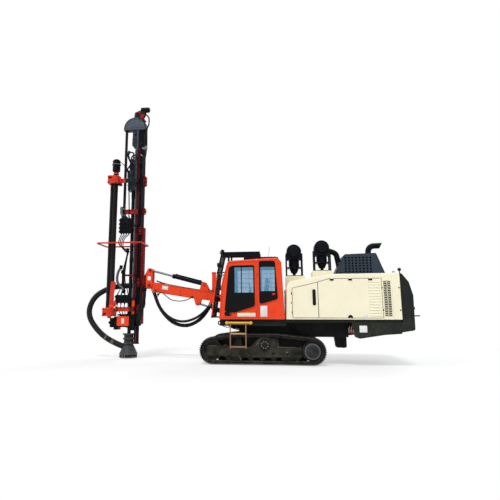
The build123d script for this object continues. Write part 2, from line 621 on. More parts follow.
guard_front = Part()
rear_line = [(x, z) for x, z in guard_line]
front_line = [(x - GUARD_TUBE, z) for x, z in reversed(guard_line)]
for y in side_bar_y:
    guard_front += side_plate(rear_line + front_line, y)
for y in spaced(GUARD_Y, GUARD_BARS + 1)[1:-1]:
    thin = [(x - 14, z) for x, z in guard_line] + [(x - 26, z) for x, z in reversed(guard_line)]
    guard_front += side_plate(thin, about(y, 6))
for z in (GUARD_FOOT[1] + 20, 1900, GUARD_KNEE[1], GUARD_BROW[1] - 20):
    guard_front += box((guard_x(z) - GUARD_TUBE, guard_x(z)), GUARD_Y, about(z, 20))
for z, reach in ((GUARD_FOOT[1] + 20, CAB_FRONT_X + 40), (GUARD_KNEE[1], CAB_FRONT_X + 200)):
    for y in side_bar_y:
        guard_front += box((guard_x(z) - 10, reach), y, about(z, 15))
grab_y = GUARD_Y[0] - 45
grab_z = (1370, 2470)
grab_x = [guard_x(z) - 20 for z in grab_z]
grab_line = FilletPolyline(
    (grab_x[0], GUARD_Y[0] + 5, grab_z[0]), (grab_x[0], grab_y, grab_z[0]), (grab_x[1], grab_y, grab_z[1]),
    (grab_x[1], GUARD_Y[0] + 5, grab_z[1]), radius=30)
guard_front += sweep(Plane(origin=grab_line @ 0, z_dir=grab_line % 0) * Circle(12), grab_line)
work_z = 2750
guard_front += rod_x(GUARD_Y[0] - 60, work_z, LAMP_RADIUS, about(guard_x(work_z) - 20, 45))
guard_front += rod_y(guard_x(work_z) - 20, work_z, 16, (GUARD_Y[0] - 30, GUARD_Y[0] + 5))
guard_front -= cab_body
keep("guard_front", guard_front)
ROOF_GUARD_Z = (3080.0, 3130.0)
ROOF_GUARD_X = (CAB_FRONT_X + 100, 720.0)
roof_guard = Part()
roof_side_y = [(GUARD_Y[0], GUARD_Y[0] + 50), (GUARD_Y[1] - 50, GUARD_Y[1])]
for y in roof_side_y:
    roof_guard += box(ROOF_GUARD_X, y, ROOF_GUARD_Z)
for x in spaced((ROOF_GUARD_X[0] + 25, ROOF_GUARD_X[1] - 25), 5):
    roof_guard += box(about(x, 25), GUARD_Y, ROOF_GUARD_Z)
for y in spaced(GUARD_Y, 8)[1:-1]:
    roof_guard += box(ROOF_GUARD_X, about(y, 5), about(sum(ROOF_GUARD_Z) / 2, 5))
for x in (-170, 670):
    for y in roof_side_y:
        roof_guard += box(about(x, 25), y, (2800, ROOF_GUARD_Z[0] + 1))
ball_x, ball_y = ROOF_GUARD_X[0] - 70, sum(GUARD_Y) / 2
roof_guard += Pos(ball_x, ball_y, 3175) * Sphere(LAMP_RADIUS)
roof_guard += rod_x(ball_y, ROOF_GUARD_Z[1] - 20, 14, (ball_x - 10, ROOF_GUARD_X[0] + 10))
roof_guard += rod_z(ball_x, ball_y, 14, (ROOF_GUARD_Z[1] - 30, 3130))
roof_guard -= cab_body
keep("guard_roof", roof_guard)

# Hood: a hollow housing open to the deck below, with two doors on each side.
HOOD_SIDE = rounded([
    (HOOD_FRONT_X, DECK_TOP_Z, 0), (HOOD_FRONT_X + 30, 2140, 60), (HOOD_FRONT_X + 120, 2270, 60),
    (HOOD_FRONT_X + 1230, 2470, 300), (HOOD_REAR_X, HOOD_TOP_Z, 0), (HOOD_REAR_X, DECK_TOP_Z, 0)])
hood_y = about(0, half_body)
hood_body = side_face(HOOD_SIDE, hood_y)
hood_edges = hood_body.faces().sort_by(Axis.Y)[0].edges() + hood_body.faces().sort_by(Axis.Y)[-1].edges()
round_edges = [edge for edge in hood_edges if edge.center().Z > 1400 and edge.center().X < HOOD_REAR_X - 1]
hood_body = fillet(round_edges, HOOD_EDGE)
hood_room = side_face(grown(HOOD_SIDE, -HOOD_WALL), about(0, half_body - HOOD_WALL))
hood = hood_body - hood_room
hood -= box((HOOD_FRONT_X + HOOD_WALL + 2, HOOD_REAR_X - HOOD_WALL), about(0, half_body - HOOD_WALL),
            (DECK_TOP_Z - 1, DECK_TOP_Z + HOOD_WALL + 20))
# columns: front x, rear x, top z
PLINTHS = ((HOOD_FRONT_X + 20, HOOD_FRONT_X + 580, 2460.0), (HOOD_FRONT_X + 790, HOOD_FRONT_X + 1345, 2600.0))
PLINTH_Y = about(FILTER_Y, 280)
for front, rear, top in PLINTHS:
    plinth = side_face(rounded([(front, 2160, 0), (front, top, 40), (rear, top, 40), (rear, 2160, 0)]), PLINTH_Y)
    hood += plinth - hood_body - hood_room
front_x, rear_x = DOOR1_X
DOOR1 = rounded([
    (front_x, HOOD_DOOR_SILL_Z, 25), (front_x, 2085, 40), (rear_x - PANEL_GAP, 2248, 20),
    (rear_x - PANEL_GAP, HOOD_DOOR_SILL_Z, 20)])
DOOR2 = rounded([
    (rear_x, HOOD_DOOR_SILL_Z, 20), (rear_x, 2252, 20), (rear_x + 320, HATCH_HEAD_Z, 60),
    (DOOR2_REAR_X, HATCH_HEAD_Z, 25), (DOOR2_REAR_X, HOOD_DOOR_SILL_Z, 20)])
hood_wall_y = (-half_body, -half_body + HOOD_WALL)
door_cut = side_face(grown(DOOR1, PANEL_GAP) + grown(DOOR2, PANEL_GAP), wide(hood_wall_y))
door_cut += box(GRILLE_X, wide(hood_wall_y), GRILLE_Z)
hood -= door_cut
hood -= mirror(door_cut, Plane.XZ)
keep("hood", hood)

door1 = side_face(DOOR1, hood_wall_y)
door1_hinge_x = front_x - PANEL_GAP / 2
for z in ((1380, 1460), (1640, 1720), (1900, 1980)):
    door1 += upright_hinge(door1_hinge_x, front_x, -half_body, z)
handle = rounded([(rear_x - 125, 1630, 17), (rear_x - 125, 2030, 17), (rear_x - 90, 2030, 17), (rear_x - 90, 1630, 17)])
door1 += side_face(handle, (-half_body - 12, -half_body + 1))
door2 = side_face(DOOR2, hood_wall_y)
hatch_hinge_z = HATCH_HEAD_Z + PANEL_GAP / 2
for x in (rear_x + 380, rear_x + 870, rear_x + 1400):
    door2 += level_hinge(hatch_hinge_z, HATCH_HEAD_Z, -half_body, about(x, 45))
for z in spaced(LOUVRE_Z, LOUVRE_ROWS):
    louvre = Polygon((-half_body, z - 14), (-half_body, z + 14), (-half_body - 11, z - 14), align=None)
    door2 += extrude(Plane.YZ.offset(LOUVRE_X[0]) * louvre, LOUVRE_X[1] - LOUVRE_X[0], dir=(1, 0, 0))
lock = rod_y(3130, HOOD_DOOR_SILL_Z + 35, 34, (-half_body - 10, -half_body + 1))
door2 += lock - box((3000, 3300), wide(hood_wall_y, 30), (HOOD_DOOR_SILL_Z + 35, 1500))
keep("hood_door_left", door1)
keep("hood_hatch_left", door2)
keep("hood_door_right", mirror(door1, Plane.XZ))
keep("hood_hatch_right", mirror(door2, Plane.XZ))
grille = Part()
SLAT = 9.0
for x in spaced((GRILLE_X[0] + SLAT, GRILLE_X[1] - SLAT), GRILLE_COLUMNS + 1):
    grille += box(about(x, SLAT), hood_wall_y, GRILLE_Z)
for z in spaced((GRILLE_Z[0] + SLAT, GRILLE_Z[1] - SLAT), GRILLE_ROWS + 1):
    grille += box(GRILLE_X, hood_wall_y, about(z, SLAT))
keep("side_grilles", both_sides(grille))

# Engine, compressor and coolers as plain blocks on the deck.
engine = box((2620, 3700), about(0, 380), (DECK_TOP_Z, 2100))
compressor = box((1700, 2420), about(0, 330), (DECK_TOP_Z, 1950))
keep("power_pack", Part() + [engine, compressor])
keep("coolers", box((4080, 4300), about(0, half_body - HOOD_WALL - 160), (DECK_TOP_Z, 2330)))

# Tail: the dark rear housing that wraps behind and below the hood, with its handle, hook and lamp.
tail_side = rounded([
    (HOOD_REAR_X, HOOD_TOP_Z, 0), (HOOD_REAR_X + 60, HOOD_TOP_Z - 20, 60), (TAIL_REAR_X - 90, 2230, 120),
    (TAIL_REAR_X, 1870, 120), (TAIL_REAR_X - 10, 950, 60), (3320, 720, 60), (3160, 1060, 40),
    (3160, deck_low, 0), (HOOD_REAR_X, deck_low, 0)])
TAIL_ROOM = rounded([
    (HOOD_REAR_X - 1, HOOD_TOP_Z - TAIL_WALL, 0), (HOOD_REAR_X + 50, HOOD_TOP_Z - TAIL_WALL - 20, 0),
    (TAIL_REAR_X - TAIL_WALL - 90, 2210, 60), (TAIL_REAR_X - TAIL_WALL - 2, 1850, 60), (TAIL_REAR_X - TAIL_WALL - 12, 990, 0),
    (3346, 765, 0), (3220, 1060, 0), (3220, deck_low + 1, 0), (HOOD_REAR_X, deck_low + 1, 0)])
tail = side_face(tail_side, about(0, half_body))
tail -= side_face(TAIL_ROOM, about(0, half_body - TAIL_WALL))
tail -= box((3100, 3600), about(0, BELLY_HALF_WIDTH + PANEL_GAP), (600, deck_low + 1))
REAR_GRILLE_Y = about(0, half_body - 350)
REAR_GRILLE_Z = (1080.0, 1800.0)
tail -= box((TAIL_REAR_X - 90, TAIL_REAR_X + 1), REAR_GRILLE_Y, REAR_GRILLE_Z)
handle_x = TAIL_REAR_X + HANDLE_REACH
for side in (-1, 1):
    mid_y = side * (half_body - 120)
    for y in (mid_y - 90, mid_y + 90):
        tail += rod_x(y, 1330, 16, (TAIL_REAR_X - 20, handle_x))
    tail += rod_y(handle_x, 1330, 16, (mid_y - 106, mid_y + 106))
    tail += side_face(rounded([
        (TAIL_REAR_X - 12, 1480, 0), (TAIL_REAR_X + 45, 1500, 12), (TAIL_REAR_X + 45, 1560, 12),
        (TAIL_REAR_X - 12, 1580, 0)]), about(mid_y, 20))
lamp_y = -half_body + 90
tail += rod_z(HOOD_REAR_X + 30, lamp_y, 14, (2445, 2540))
tail += Pos(HOOD_REAR_X + 30, lamp_y, 2575) * Sphere(48)
keep("tail", tail)
grille_face = TAIL_REAR_X - 48
rear_grille = Part()
for z in spaced((REAR_GRILLE_Z[0] + SLAT, REAR_GRILLE_Z[1] - SLAT), 13):
    rear_grille += box((grille_face, grille_face + 30), REAR_GRILLE_Y, about(z, SLAT))
for y in spaced((REAR_GRILLE_Y[0] + SLAT, REAR_GRILLE_Y[1] - SLAT), 7):
    rear_grille += box((grille_face, grille_face + 30), about(y, SLAT), REAR_GRILLE_Z)
keep("rear_grille", rear_grille)

# Air filters on their stands, the second filter's duct, the exhaust and its perforated guard.
# columns: centre x, centre z, stand half width, plinth
FILTERS = ((1695.0, 3180.0, 245.0, PLINTHS[0]), (2500.0, 3285.0, 242.0, PLINTHS[1]))
filters = Part()
stands = Part()
filter_end = FILTER_LENGTH / 2
for x, z, half, plinth in FILTERS:
    foot = plinth[2]
    filters += rod_y(x, z, FILTER_RADIUS, about(FILTER_Y, filter_end))
    filters += rod_y(x, z, FILTER_RADIUS - 40, about(FILTER_Y, filter_end + 30))
    for y in (FILTER_Y - filter_end + 60, FILTER_Y + filter_end - 60):
        filters += rod_y(x, z, FILTER_RADIUS + 8, about(y, 18))
    filters += rod_z(x, FILTER_Y, CANISTER_RADIUS, (foot + 190, z))
    filters += Pos(x, FILTER_Y, foot + 140) * Cone(CANISTER_RADIUS - 45, CANISTER_RADIUS, 100)
    stand = Part()
    for post_x in (x - half, x + half - POST_SIZE):
        for post_y in (FILTER_Y - filter_end, FILTER_Y + filter_end - POST_SIZE):
            stand += box((post_x, post_x + POST_SIZE), (post_y, post_y + POST_SIZE), (foot, z - 60))
    for y in (FILTER_Y - filter_end, FILTER_Y + filter_end - POST_SIZE):
        saddle = box(about(x, half - 5), (y + 5, y + POST_SIZE - 5), (z - FILTER_RADIUS - 30, z - 70))
        stand += saddle - rod_y(x, z, FILTER_RADIUS, wide((y, y + POST_SIZE)))
    tray = box(about(x, half - 3), about(FILTER_Y, filter_end - 3), (foot + 230, foot + 260))
    stands += stand + tray - rod_z(x, FILTER_Y, CANISTER_RADIUS, (foot + 220, foot + 270))
second_x, second_z = FILTERS[1][0], FILTERS[1][1]
duct_line = FilletPolyline((second_x + 150, FILTER_Y, second_z - 60), (second_x + 420, FILTER_Y, second_z - 160),
                           (second_x + 500, FILTER_Y, second_z - 640), radius=170)
duct = sweep(Plane(origin=duct_line @ 0, z_dir=duct_line % 0) * Circle(80), duct_line)
filters += duct
filters -= hood_body
keep("filter_stands", stands)
keep("air_filters", filters)

stack_side = rounded([
    (HOOD_FRONT_X + 1370, HOOD_TOP_Z - 60, 0), (HOOD_FRONT_X + 1690, 3045, 60), (HOOD_FRONT_X + 2565, 3075, 60),
    (HOOD_FRONT_X + 2805, HOOD_TOP_Z - 60, 0)])
stack_guard = side_face(stack_side, STACK_GUARD_Y)
stack_room = side_face(grown(stack_side, -STACK_GUARD_PLATE), about(sum(STACK_GUARD_Y) / 2, 350 - STACK_GUARD_PLATE))
stack_guard -= stack_room
HOLE_SIZE = (52.0, 46.0)
for x in spaced((3130, 3816), 8):
    for z in spaced((2560, 2950), 6):
        stack_guard -= box(about(x, HOLE_SIZE[0] / 2), (STACK_GUARD_Y[0] - 1, STACK_GUARD_Y[0] + STACK_GUARD_PLATE + 1),
                           about(z, HOLE_SIZE[1] / 2))
stack_guard -= hood_body
stack_guard -= filters
keep("exhaust_guard", stack_guard)
exhaust_foot = HOOD_TOP_Z - 60


def stack_sweep(radius, foot):
    """Exhaust stack with its elbow, as a solid of one radius from a foot height."""
    line = FilletPolyline((EXHAUST_X, 0, foot), (EXHAUST_X, 0, EXHAUST_TOP_Z),
                          (EXHAUST_X + 470, 0, EXHAUST_TOP_Z + 10), radius=180)
    return sweep(Plane(origin=(EXHAUST_X, 0, foot)) * Circle(radius), line)


exhaust = stack_sweep(EXHAUST_RADIUS, exhaust_foot)
exhaust += rod_z(EXHAUST_X, 0, EXHAUST_RADIUS + 25, (exhaust_foot + 5, HOOD_TOP_Z + 12))
for z in (2720, 3080):
    exhaust += rod_z(EXHAUST_X, 0, EXHAUST_RADIUS + 7, about(z, 20))
exhaust -= stack_sweep(EXHAUST_RADIUS - EXHAUST_WALL, exhaust_foot - 20)
exhaust -= side_plate([(EXHAUST_X + 265, 3200), (EXHAUST_X + 465, 3600), (EXHAUST_X + 700, 3600),
                       (EXHAUST_X + 700, 3200)], about(0, EXHAUST_RADIUS + 10))
exhaust -= box(about(EXHAUST_X, 200), about(0, 200), (exhaust_foot - 1, HOOD_TOP_Z - 20)) + hood_body
keep("exhaust_pipe", exhaust)

# Ladder below the cab door: a tread plate with end caps, two rails and two rungs.
LADDER_GAP = 12.0
LADDER_DEPTH = 103.0
LADDER_X = (-190.0, 420.0)
ladder_inner = -max(OVERALL_WIDTH / 2, -CAB_Y[0]) - LADDER_GAP
ladder_y = (ladder_inner - LADDER_DEPTH, ladder_inner)
ladder = box(LADDER_X, ladder_y, (1100, 1165))
for x in LADDER_X:
    ladder += rod_y(x, 1132, 40, ladder_y)
for x in (-135.0, 295.0):
    ladder += box((x, x + 26), (ladder_y[0], ladder_y[0] + 50), (460, 1101))
for z in (470.0, 815.0):
    ladder += box((-135, 321), ladder_y, (z, z + 40)) - box((-105, 291), wide(ladder_y, -12), (z + 20, z + 41))
for x in (-150.0, 350.0):
    ladder += box((x, x + 40), (ladder_y[1] - 40, -half_body), (1090, 1140))
keep("ladder", ladder)

# Boom mount on the deck: gussets, a front wall and two forks that hold the upright swing pin.
MOUNT_X = (180.0, 700.0)
MOUNT_HALF = 140.0
MOUNT_TOP_Z = 1990.0
FORK_HALF = 100.0
FORK_Z = ((DECK_TOP_Z, DECK_TOP_Z + 40), (1905.0, 1955.0))
mount = box((MOUNT_X[0], MOUNT_X[0] + 50), about(BOOM_Y, MOUNT_HALF), (DECK_TOP_Z, MOUNT_TOP_Z))
mount += box((MOUNT_X[0], 420), about(BOOM_Y, MOUNT_HALF), (MOUNT_TOP_Z - 40, MOUNT_TOP_Z))
gusset = rounded([
    (MOUNT_X[0], DECK_TOP_Z, 0), (MOUNT_X[1], DECK_TOP_Z, 0), (MOUNT_X[1], DECK_TOP_Z + 60, 30), (440, 1880, 80),
    (420, MOUNT_TOP_Z, 20), (MOUNT_X[0], MOUNT_TOP_Z, 0)])
for side in (-1, 1):
    mount += side_face(gusset, sorted((BOOM_Y + side * MOUNT_HALF, BOOM_Y + side * (MOUNT_HALF - LUG_PLATE))))
for low, high in FORK_Z:
    fork = box((SWING_X, MOUNT_X[0] + 1), about(BOOM_Y, FORK_HALF), (low, high))
    fork += rod_z(SWING_X, BOOM_Y, FORK_HALF, (low, high))
    mount += fork - rod_z(SWING_X, BOOM_Y, SWING_PIN_RADIUS + RUN_GAP, (low, high + 1))
keep("boom_mount", mount)


def lugs(face, half_gap, plate=LUG_PLATE):
    """A pair of plates of one face, standing each side of a gap about the boom's plane."""
    return Part() + [
        side_face(face, (BOOM_Y - half_gap - plate, BOOM_Y - half_gap)),
        side_face(face, (BOOM_Y + half_gap, BOOM_Y + half_gap + plate))]


# Swing bracket: the upright pin, two lug plates, and the foot and lift pins right through them.
bracket_gap = NECK_HALF + LUG_GAP
swing = rod_z(SWING_X, BOOM_Y, SWING_PIN_RADIUS + 30, (FORK_Z[0][1] + SLIDE_GAP, FORK_Z[1][0] - SLIDE_GAP))
swing += rod_z(SWING_X, BOOM_Y, SWING_PIN_RADIUS, (FORK_Z[0][0] + 2, FORK_Z[1][1] + 20))
swing += lugs(rounded([
    (FOOT[0] - 75, LIFT_BASE[1] - 60, 55), (FOOT[0] - 90, FOOT[1] + 60, 70), (FOOT[0] - 10, FOOT[1] + 100, 80),
    (SWING_X + 40, FOOT[1] + 100, 20), (SWING_X + 40, LIFT_BASE[1] - 60, 20)]), bracket_gap)
swing += box(about(SWING_X, 60), about(BOOM_Y, bracket_gap + 5), (1300, 1850))
for pin in (FOOT, LIFT_BASE):
    swing += rod_y(pin[0], pin[1], PIN_RADIUS, about(BOOM_Y, bracket_gap + LUG_PLATE + 20))
    swing += rod_y(pin[0], pin[1], PIN_RADIUS + 12, about(BOOM_Y, bracket_gap + LUG_PLATE + 8)) - box(
        (pin[0] - 100, pin[0] + 100), about(BOOM_Y, bracket_gap + 1), (pin[1] - 100, pin[1] + 100))
keep("swing_bracket", swing)

# Boom: a box beam with a bored neck and end, lugs for both cylinders and a post on top.
boom_y = about(BOOM_Y, BOOM_HALF)
boom = side_face(rounded([
    (-430, 1715, 0), (-430, 1950, 0), (-820, 2020, 300), (-2680, 2370, 60), (-2760, 2330, 30), (-2730, 2062, 60),
    (-1560, 1870, 400), (-820, 1770, 200)]), boom_y)
neck = side_plate([(FOOT[0], FOOT[1] + 74), (-440, 1930), (-440, 1735), (FOOT[0], FOOT[1] - 74)],
                  about(BOOM_Y, NECK_HALF))
boom += neck + rod_y(FOOT[0], FOOT[1], 74, about(BOOM_Y, NECK_HALF))
boom += rod_y(HEAD_PIN[0], HEAD_PIN[1], 88, boom_y)
boom += side_plate([(HEAD_PIN[0], HEAD_PIN[1] + 87), (-2700, 2370), (-2700, 2070), (HEAD_PIN[0], HEAD_PIN[1] - 87)],
                   boom_y)
boom -= rod_y(FOOT[0], FOOT[1], PIN_RADIUS + RUN_GAP, wide(boom_y))
boom -= rod_y(HEAD_PIN[0], HEAD_PIN[1], HEAD_PIN_RADIUS + RUN_GAP, wide(boom_y))
eye_gap = EYE_HALF + LUG_GAP
boom += lugs(rounded([
    (TILT_BASE[0] - 150, 2080, 0), (TILT_BASE[0] - 70, TILT_BASE[1] + 60, 60),
    (TILT_BASE[0] + 60, TILT_BASE[1] + 60, 60), (TILT_BASE[0] + 220, 2020, 0)]), eye_gap)
boom += lugs(rounded([
    (LIFT_EYE[0] - 120, 1860, 0), (LIFT_EYE[0] - 60, LIFT_EYE[1] - 60, 55),
    (LIFT_EYE[0] + 60, LIFT_EYE[1] - 60, 55), (LIFT_EYE[0] + 120, 1830, 0)]), eye_gap)
boom += rod_y(TILT_BASE[0], TILT_BASE[1], PIN_RADIUS, about(BOOM_Y, eye_gap + LUG_PLATE + 16))
for side in (-1, 1):
    boss_y = sorted((BOOM_Y + side * (eye_gap + LUG_PLATE - 1), BOOM_Y + side * (eye_gap + LUG_PLATE + 14)))
    for x, z in (TILT_BASE, LIFT_EYE):
        boom += rod_y(x, z, PIN_RADIUS + 12, boss_y)
post = box(about(POST_X, 60), about(BOOM_Y, 60), (2000, 2640))
post = fillet(post.edges().filter_by(Axis.Z), 20)
post += box(about(POST_X, 70), about(BOOM_Y, 70), (2640, 2665))
post += side_plate([(POST_X - 130, 2010), (POST_X - 61, 2150), (POST_X + 61, 2150), (POST_X + 120, 1980)],
                   about(BOOM_Y, 61))
keep("boom", boom + post)


def along(start, end, distance):
    """Point at a distance from start towards end, in the X-Z plane."""
    length = hypot(end[0] - start[0], end[1] - start[1])
    return (start[0] + (end[0] - start[0]) * distance / length,
            start[1] + (end[1] - start[1]) * distance / length)


BORE_START = 85.0


def cylinder(base, eye, radius, length, rod_radius, rod_start, port_side):
    """Barrel with its bored base eye, gland and ports, and the rod with its own eye, on one line."""
    whole = hypot(eye[0] - base[0], eye[1] - base[1])
    rise = ((base[1] - eye[1]) / whole * port_side, (eye[0] - base[0]) / whole * port_side)

    def at(distance, height=0):
        x, z = along(base, eye, distance)
        return (x + rise[0] * height, BOOM_Y, z + rise[1] * height)

    eye_y = about(BOOM_Y, EYE_HALF)
    barrel = bar(at(40), at(length), radius) + rod_y(base[0], base[1], radius - 4, eye_y)
    barrel += bar(at(length - GLAND_LENGTH), at(length), radius + GLAND_RISE)
    for distance in (BORE_START + 60, length - GLAND_LENGTH - 40):
        barrel += bar(at(distance, radius - 10), at(distance, radius + 26), 17)
    barrel -= rod_y(base[0], base[1], PIN_RADIUS + RUN_GAP, wide(eye_y))
    barrel -= bar(at(BORE_START), at(length + 1), rod_radius + RUN_GAP)
    rod = bar(at(rod_start), at(whole - 40), rod_radius)
    rod += rod_y(eye[0], eye[1], rod_radius + 24, eye_y)
    return barrel, rod


lift_barrel, lift_rod = cylinder(LIFT_BASE, LIFT_EYE, LIFT_BARREL_RADIUS, LIFT_BARREL_LENGTH,
                                 LIFT_ROD_RADIUS, 200, 1)
keep("lift_barrel", lift_barrel)
keep("lift_rod", lift_rod)
tilt_barrel, tilt_rod = cylinder(TILT_BASE, TILT_EYE, TILT_BARREL_RADIUS, TILT_BARREL_LENGTH,
                                 TILT_ROD_RADIUS, 605, -1)
keep("tilt_barrel", tilt_barrel)
keep("tilt_rod", tilt_rod)

# Boom head: two plates over the boom's end with their pin, and the round face the mast swivels on.
head_gap = BOOM_HALF + LUG_GAP
face_x = (HEAD_FACE_X, HEAD_FACE_X + HEAD_FACE_PLATE)
head = lugs(rounded([
    (TILT_EYE[0] + 75, TILT_EYE[1] + 55, 62), (HEAD_PIN[0] + 90, HEAD_PIN[1] - 60, 80),
    (HEAD_PIN[0] - 20, HEAD_PIN[1] - 115, 60), (face_x[1] - 1, HEAD_PIN[1] - 115, 0),
    (face_x[1] - 1, 2580, 0), (TILT_EYE[0] - 75, TILT_EYE[1] + 60, 62)]), head_gap)
head += box(face_x, about(BOOM_Y, 170), (2170, 2580))
head += rod_y(HEAD_PIN[0], HEAD_PIN[1], HEAD_PIN_RADIUS, about(BOOM_Y, head_gap + LUG_PLATE + 22))
for side in (-1, 1):
    plate_y = BOOM_Y + side * (head_gap + LUG_PLATE)
    for x, z, radius in ((*HEAD_PIN, HEAD_PIN_RADIUS + 18), (*TILT_EYE, 45)):
        head += rod_y(x, z, radius, sorted((plate_y - side, plate_y + side * 16)))
    head += rod_y(TILT_EYE[0], TILT_EYE[1], 45, sorted((BOOM_Y + side * eye_gap, BOOM_Y + side * (head_gap + 1))))
head -= rod_x(BOOM_Y, SWIVEL_Z, SWIVEL_SHAFT_RADIUS + RUN_GAP, wide(face_x))
keep("boom_head", head)

# Swivel plate with its shaft, and the long cradle that the feed beam slides in.
SWIVEL_X = (HEAD_FACE_X - SLIDE_GAP - 35, HEAD_FACE_X - SLIDE_GAP)
cradle = rod_x(BOOM_Y, SWIVEL_Z, SWIVEL_RADIUS, SWIVEL_X)
cradle += rod_x(BOOM_Y, SWIVEL_Z, SWIVEL_SHAFT_RADIUS, (SWIVEL_X[0], face_x[1] + 12))
FLANGE_X = (BEAM_X[1], BEAM_X[1] + FLANGE_THICKNESS)
FLANGE_HALF = BEAM_HALF + FLANGE_LIP
rail_x = (FLANGE_X[1] + SLIDE_GAP, SWIVEL_X[0] + 1)
cradle += box(rail_x, about(BOOM_Y, 110), (CRADLE_FOOT_Z, CRADLE_Z[1]))
channel_half = FLANGE_HALF + SLIDE_GAP
for low in (CRADLE_Z[0], 2230.0, CRADLE_Z[1] - GUIDE_HEIGHT):
    high = low + GUIDE_HEIGHT
    guide = box((FLANGE_X[0] - SLIDE_GAP - GUIDE_WALL, rail_x[0] + GUIDE_WALL),
                about(BOOM_Y, channel_half + GUIDE_WALL + SLIDE_GAP), (low, high))
    guide -= box((FLANGE_X[0] - SLIDE_GAP, rail_x[0]), about(BOOM_Y, channel_half), wide((low, high)))
    guide -= box((FLANGE_X[0] - 100, FLANGE_X[0]), about(BOOM_Y, BEAM_HALF + 2 * SLIDE_GAP), wide((low, high)))
    for side in (-1, 1):
        pad_y = sorted((BOOM_Y + side * (FLANGE_HALF - 70), BOOM_Y + side * (FLANGE_HALF - 10)))
        guide += box((FLANGE_X[1] + RUN_GAP, rail_x[0] + 1), pad_y, (low + 20, high - 20))
    cradle += guide
keep("cradle", cradle)

# Feed beam: a hollow box with a wide rear flange for the cradle, front rails for the carriage,
# the round foot that stands on the ground, lifting plates and the bracket of the suction hose.
side_x = (BEAM_X[0] + 65, BEAM_X[0] + 125)
beam = box(BEAM_X, about(BOOM_Y, BEAM_HALF), BEAM_Z)
beam -= box((BEAM_X[0] + BEAM_WALL, BEAM_X[1] - BEAM_WALL), about(BOOM_Y, BEAM_HALF - BEAM_WALL), wide(BEAM_Z))
beam += box(FLANGE_X, about(BOOM_Y, FLANGE_HALF), (BEAM_Z[0], BEAM_Z[1] - 200))
RAIL_X = (BEAM_X[0], BEAM_X[0] + BEAM_RAIL[1])
RAIL_HALF = BEAM_HALF + BEAM_RAIL[0]
for side in (-1, 1):
    beam += box(RAIL_X, sorted((BOOM_Y + side * (BEAM_HALF - 1), BOOM_Y + side * RAIL_HALF)), (1550, 6900))
FOOT_TUBE = (-3285.0, 80.0, 440.0)
foot_tube = rod_z(FOOT_TUBE[0], BOOM_Y, FOOT_TUBE[1], (FOOT_TUBE[2], BEAM_Z[0]))
foot_tube += rod_z(FOOT_TUBE[0], BOOM_Y, FOOT_TUBE[1] + 15, (FOOT_TUBE[2], FOOT_TUBE[2] + 30))
beam += foot_tube
for low, high in ((4610, 4860), (5580, 5960)):
    plate = rounded([
        (FLANGE_X[1] - 1, low, 0), (FLANGE_X[1] - 1, high, 0), (FLANGE_X[1] + 105, high - 40, 30),
        (FLANGE_X[1] + 105, low + 40, 30)])
    for y in (BOOM_Y - 70, BOOM_Y + 50):
        lifting = side_face(plate, (y, y + 20))
        for share in (0.3, 0.7):
            lifting -= rod_y(FLANGE_X[1] + 60, low + share * (high - low), 24, wide((y, y + 20)))
        beam += lifting

# Carriage on the front rails, with the rotary head on its front.
carriage_front = BEAM_X[0] - SLIDE_GAP
cheek_inner = RAIL_HALF + SLIDE_GAP
CARRIAGE_HALF = cheek_inner + CARRIAGE_CHEEK
lip_x = (RAIL_X[1] + SLIDE_GAP, RAIL_X[1] + SLIDE_GAP + CARRIAGE_CHEEK)
carriage = box((carriage_front - CARRIAGE_PLATE, carriage_front), about(BOOM_Y, CARRIAGE_HALF), CARRIAGE_Z)
for side in (-1, 1):
    cheek = sorted((BOOM_Y + side * cheek_inner, BOOM_Y + side * CARRIAGE_HALF))
    carriage += box((carriage_front - 1, lip_x[1]), cheek, CARRIAGE_Z)
    carriage += box(lip_x, sorted((BOOM_Y + side * (BEAM_HALF + SLIDE_GAP), BOOM_Y + side * CARRIAGE_HALF)), CARRIAGE_Z)
    for low in (CARRIAGE_Z[0] + 60, CARRIAGE_Z[1] - 220):
        pad_y = sorted((BOOM_Y + side * (RAIL_HALF + RUN_GAP), BOOM_Y + side * (cheek_inner + 1)))
        carriage += box((RAIL_X[0] + 2, RAIL_X[1] - 2), pad_y, (low, low + 160))
keep("carriage", carriage)
gear_x = (PIPE_X - 160, carriage_front - CARRIAGE_PLATE)
SPINDLE_BORE = 60.0
gearbox = box(gear_x, about(BOOM_Y, 165), (5440, 5700))
gearbox = fillet(gearbox.edges().filter_by(Axis.Z).group_by(Axis.X)[0], 50)
rotary = gearbox + box((gear_x[0] + 30, gear_x[1]), about(BOOM_Y, 145), (5699, 5900))
rotary += box((gear_x[0] + 90, gear_x[1]), about(BOOM_Y, 60), (5899, 6560))
for side in (-1, 1):
    motor_y = BOOM_Y + side * 82
    rotary += rod_z(PIPE_X - 20, motor_y, 72, (5899, 6420)) + rod_z(PIPE_X - 20, motor_y, 52, (6419, 6470))
    for z in (5930, 6380):
        rotary += rod_z(PIPE_X - 20, motor_y, 80, about(z, 14))
gooseneck_line = FilletPolyline((-3560, BOOM_Y, 6540), (-3560, BOOM_Y, 6800), (-3664, BOOM_Y, 6820), radius=60)
rotary += sweep(Plane(origin=gooseneck_line @ 0, z_dir=gooseneck_line % 0) * Circle(26), gooseneck_line)
rotary -= rod_z(PIPE_X, BOOM_Y, SPINDLE_BORE, (5439, 5700))
keep("rotary_head", rotary)
string = rod_z(PIPE_X, BOOM_Y, SPINDLE_BORE - RUN_GAP, (5379, 5699)) + rod_z(PIPE_X, BOOM_Y, PIPE_RADIUS, (700, 5380))
string += rod_z(PIPE_X, BOOM_Y, PIPE_RADIUS + 6, (5200, 5380)) + rod_z(PIPE_X, BOOM_Y, PIPE_RADIUS + 5, (3050, 3170))
keep("drill_pipe", string)
